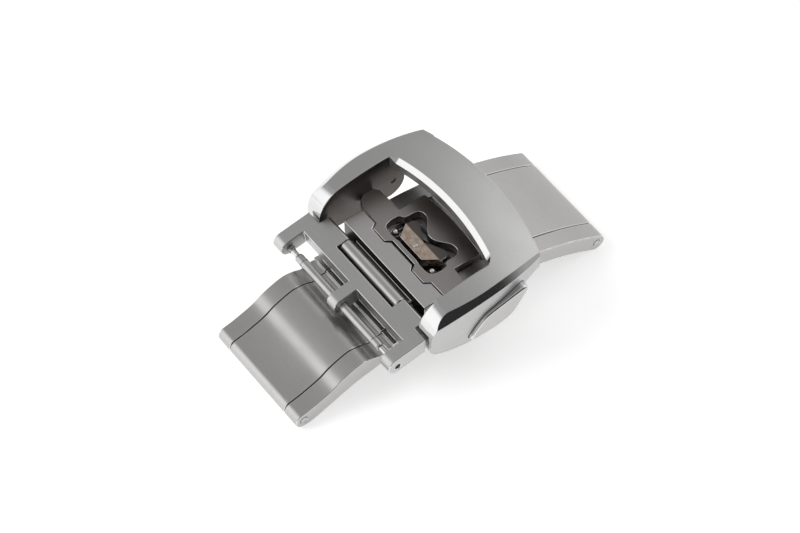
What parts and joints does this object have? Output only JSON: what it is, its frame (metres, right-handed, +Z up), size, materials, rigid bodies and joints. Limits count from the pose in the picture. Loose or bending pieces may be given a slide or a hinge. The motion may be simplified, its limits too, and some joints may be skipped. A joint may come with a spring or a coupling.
{
  "type": "deployant clasp",
  "caption": "Folding strap clasp, closed: arched inner blade, two nested links, hinged strap frame, and an arched cover with side push buttons that release a latch.",
  "frame": {"origin": "centre of the bounding box on the plane that the blade ends stand on", "axes": "+X along the clasp towards the end under the cover's bridge, +Y across the strap, +Z up, away from the wrist"},
  "size_m": [0.0464, 0.0276, 0.0142],
  "materials": {
    "blade": "satin stainless steel, brushed along its length",
    "link": "satin stainless steel with polished edges",
    "cover": "brushed top, polished chamfers",
    "frame": "brushed faces, polished edges",
    "button": "brushed face, polished rim",
    "plate": "bead-blasted, slightly warm",
    "catch": "polished front bar, dark lobes",
    "slider": "stamped spring steel",
    "ball": "polished",
    "pin": "turned and polished",
    "bar": "polished tube",
    "tip": "turned and polished",
    "spring": "spring steel wire"
  },
  "bodies": {
    "inner_blade": {"base_blade": "blade", "catch": "catch", "catch_rivet": "pin"},
    "left_fold": {"left_link": "link", "left_hinge_pin": "pin"},
    "frame": {"strap_frame": "frame", "frame_hinge_pin": "pin", "bar_tube": "bar", "bar_spring": "spring"},
    "right_fold": {"right_link": "link", "right_hinge_pin": "pin", "mechanism_plate": "plate", "plate_rivets": "pin", "cover": "cover", "near_return_spring": "spring", "far_return_spring": "spring", "rear_bar_tube": "bar", "rear_bar_spring": "spring"},
    "near_latch": {"near_button": "button", "near_slider": "slider", "near_slider_ball": "ball"},
    "far_latch": {"far_button": "button", "far_slider": "slider", "far_slider_ball": "ball"},
    "near_front_tip": {"near_bar_tip": "tip"},
    "far_front_tip": {"far_bar_tip": "tip"},
    "near_back_tip": {"near_rear_tip": "tip"},
    "far_back_tip": {"far_rear_tip": "tip"}
  },
  "joints": [
    {"name": "left_fold_hinge", "type": "hinge", "parent": "inner_blade", "child": "left_fold", "pos_m": [-0.0221, 0, 0.00115], "axis": [0, -1, 0], "range_deg": [0, 150]},
    {"name": "right_fold_hinge", "type": "hinge", "parent": "inner_blade", "child": "right_fold", "pos_m": [0.0221, 0, 0.00115], "axis": [0, 1, 0], "range_deg": [0, 150]},
    {"name": "frame_hinge", "type": "hinge", "parent": "left_fold", "child": "frame", "pos_m": [-0.00595, 0, 0.00841], "axis": [0, 1, 0], "range_deg": [-8, 12]},
    {"name": "near_button_press", "type": "slide", "parent": "right_fold", "child": "near_latch", "axis": [0, 1, 0], "range_m": [-0.0004, 0.0004], "stiffness_N_per_m": 800, "springref_m": -0.0012, "deforming": ["near_return_spring"]},
    {"name": "far_button_press", "type": "slide", "parent": "right_fold", "child": "far_latch", "axis": [0, -1, 0], "range_m": [-0.0004, 0.0004], "stiffness_N_per_m": 800, "springref_m": -0.0012, "deforming": ["far_return_spring"]},
    {"name": "near_bar_tip_slide", "type": "slide", "parent": "frame", "child": "near_front_tip", "axis": [0, 1, 0], "range_m": [0, 0.00115], "stiffness_N_per_m": 500, "springref_m": -0.001, "deforming": ["bar_spring"]},
    {"name": "far_bar_tip_slide", "type": "slide", "parent": "frame", "child": "far_front_tip", "axis": [0, -1, 0], "range_m": [0, 0.00115], "stiffness_N_per_m": 500, "springref_m": -0.001, "deforming": ["bar_spring"]},
    {"name": "near_rear_tip_slide", "type": "slide", "parent": "right_fold", "child": "near_back_tip", "axis": [0, 1, 0], "range_m": [0, 0.00115], "stiffness_N_per_m": 500, "springref_m": -0.001, "deforming": ["rear_bar_spring"]},
    {"name": "far_rear_tip_slide", "type": "slide", "parent": "right_fold", "child": "far_back_tip", "axis": [0, -1, 0], "range_m": [0, 0.00115], "stiffness_N_per_m": 500, "springref_m": -0.001, "deforming": ["rear_bar_spring"]}
  ]
}
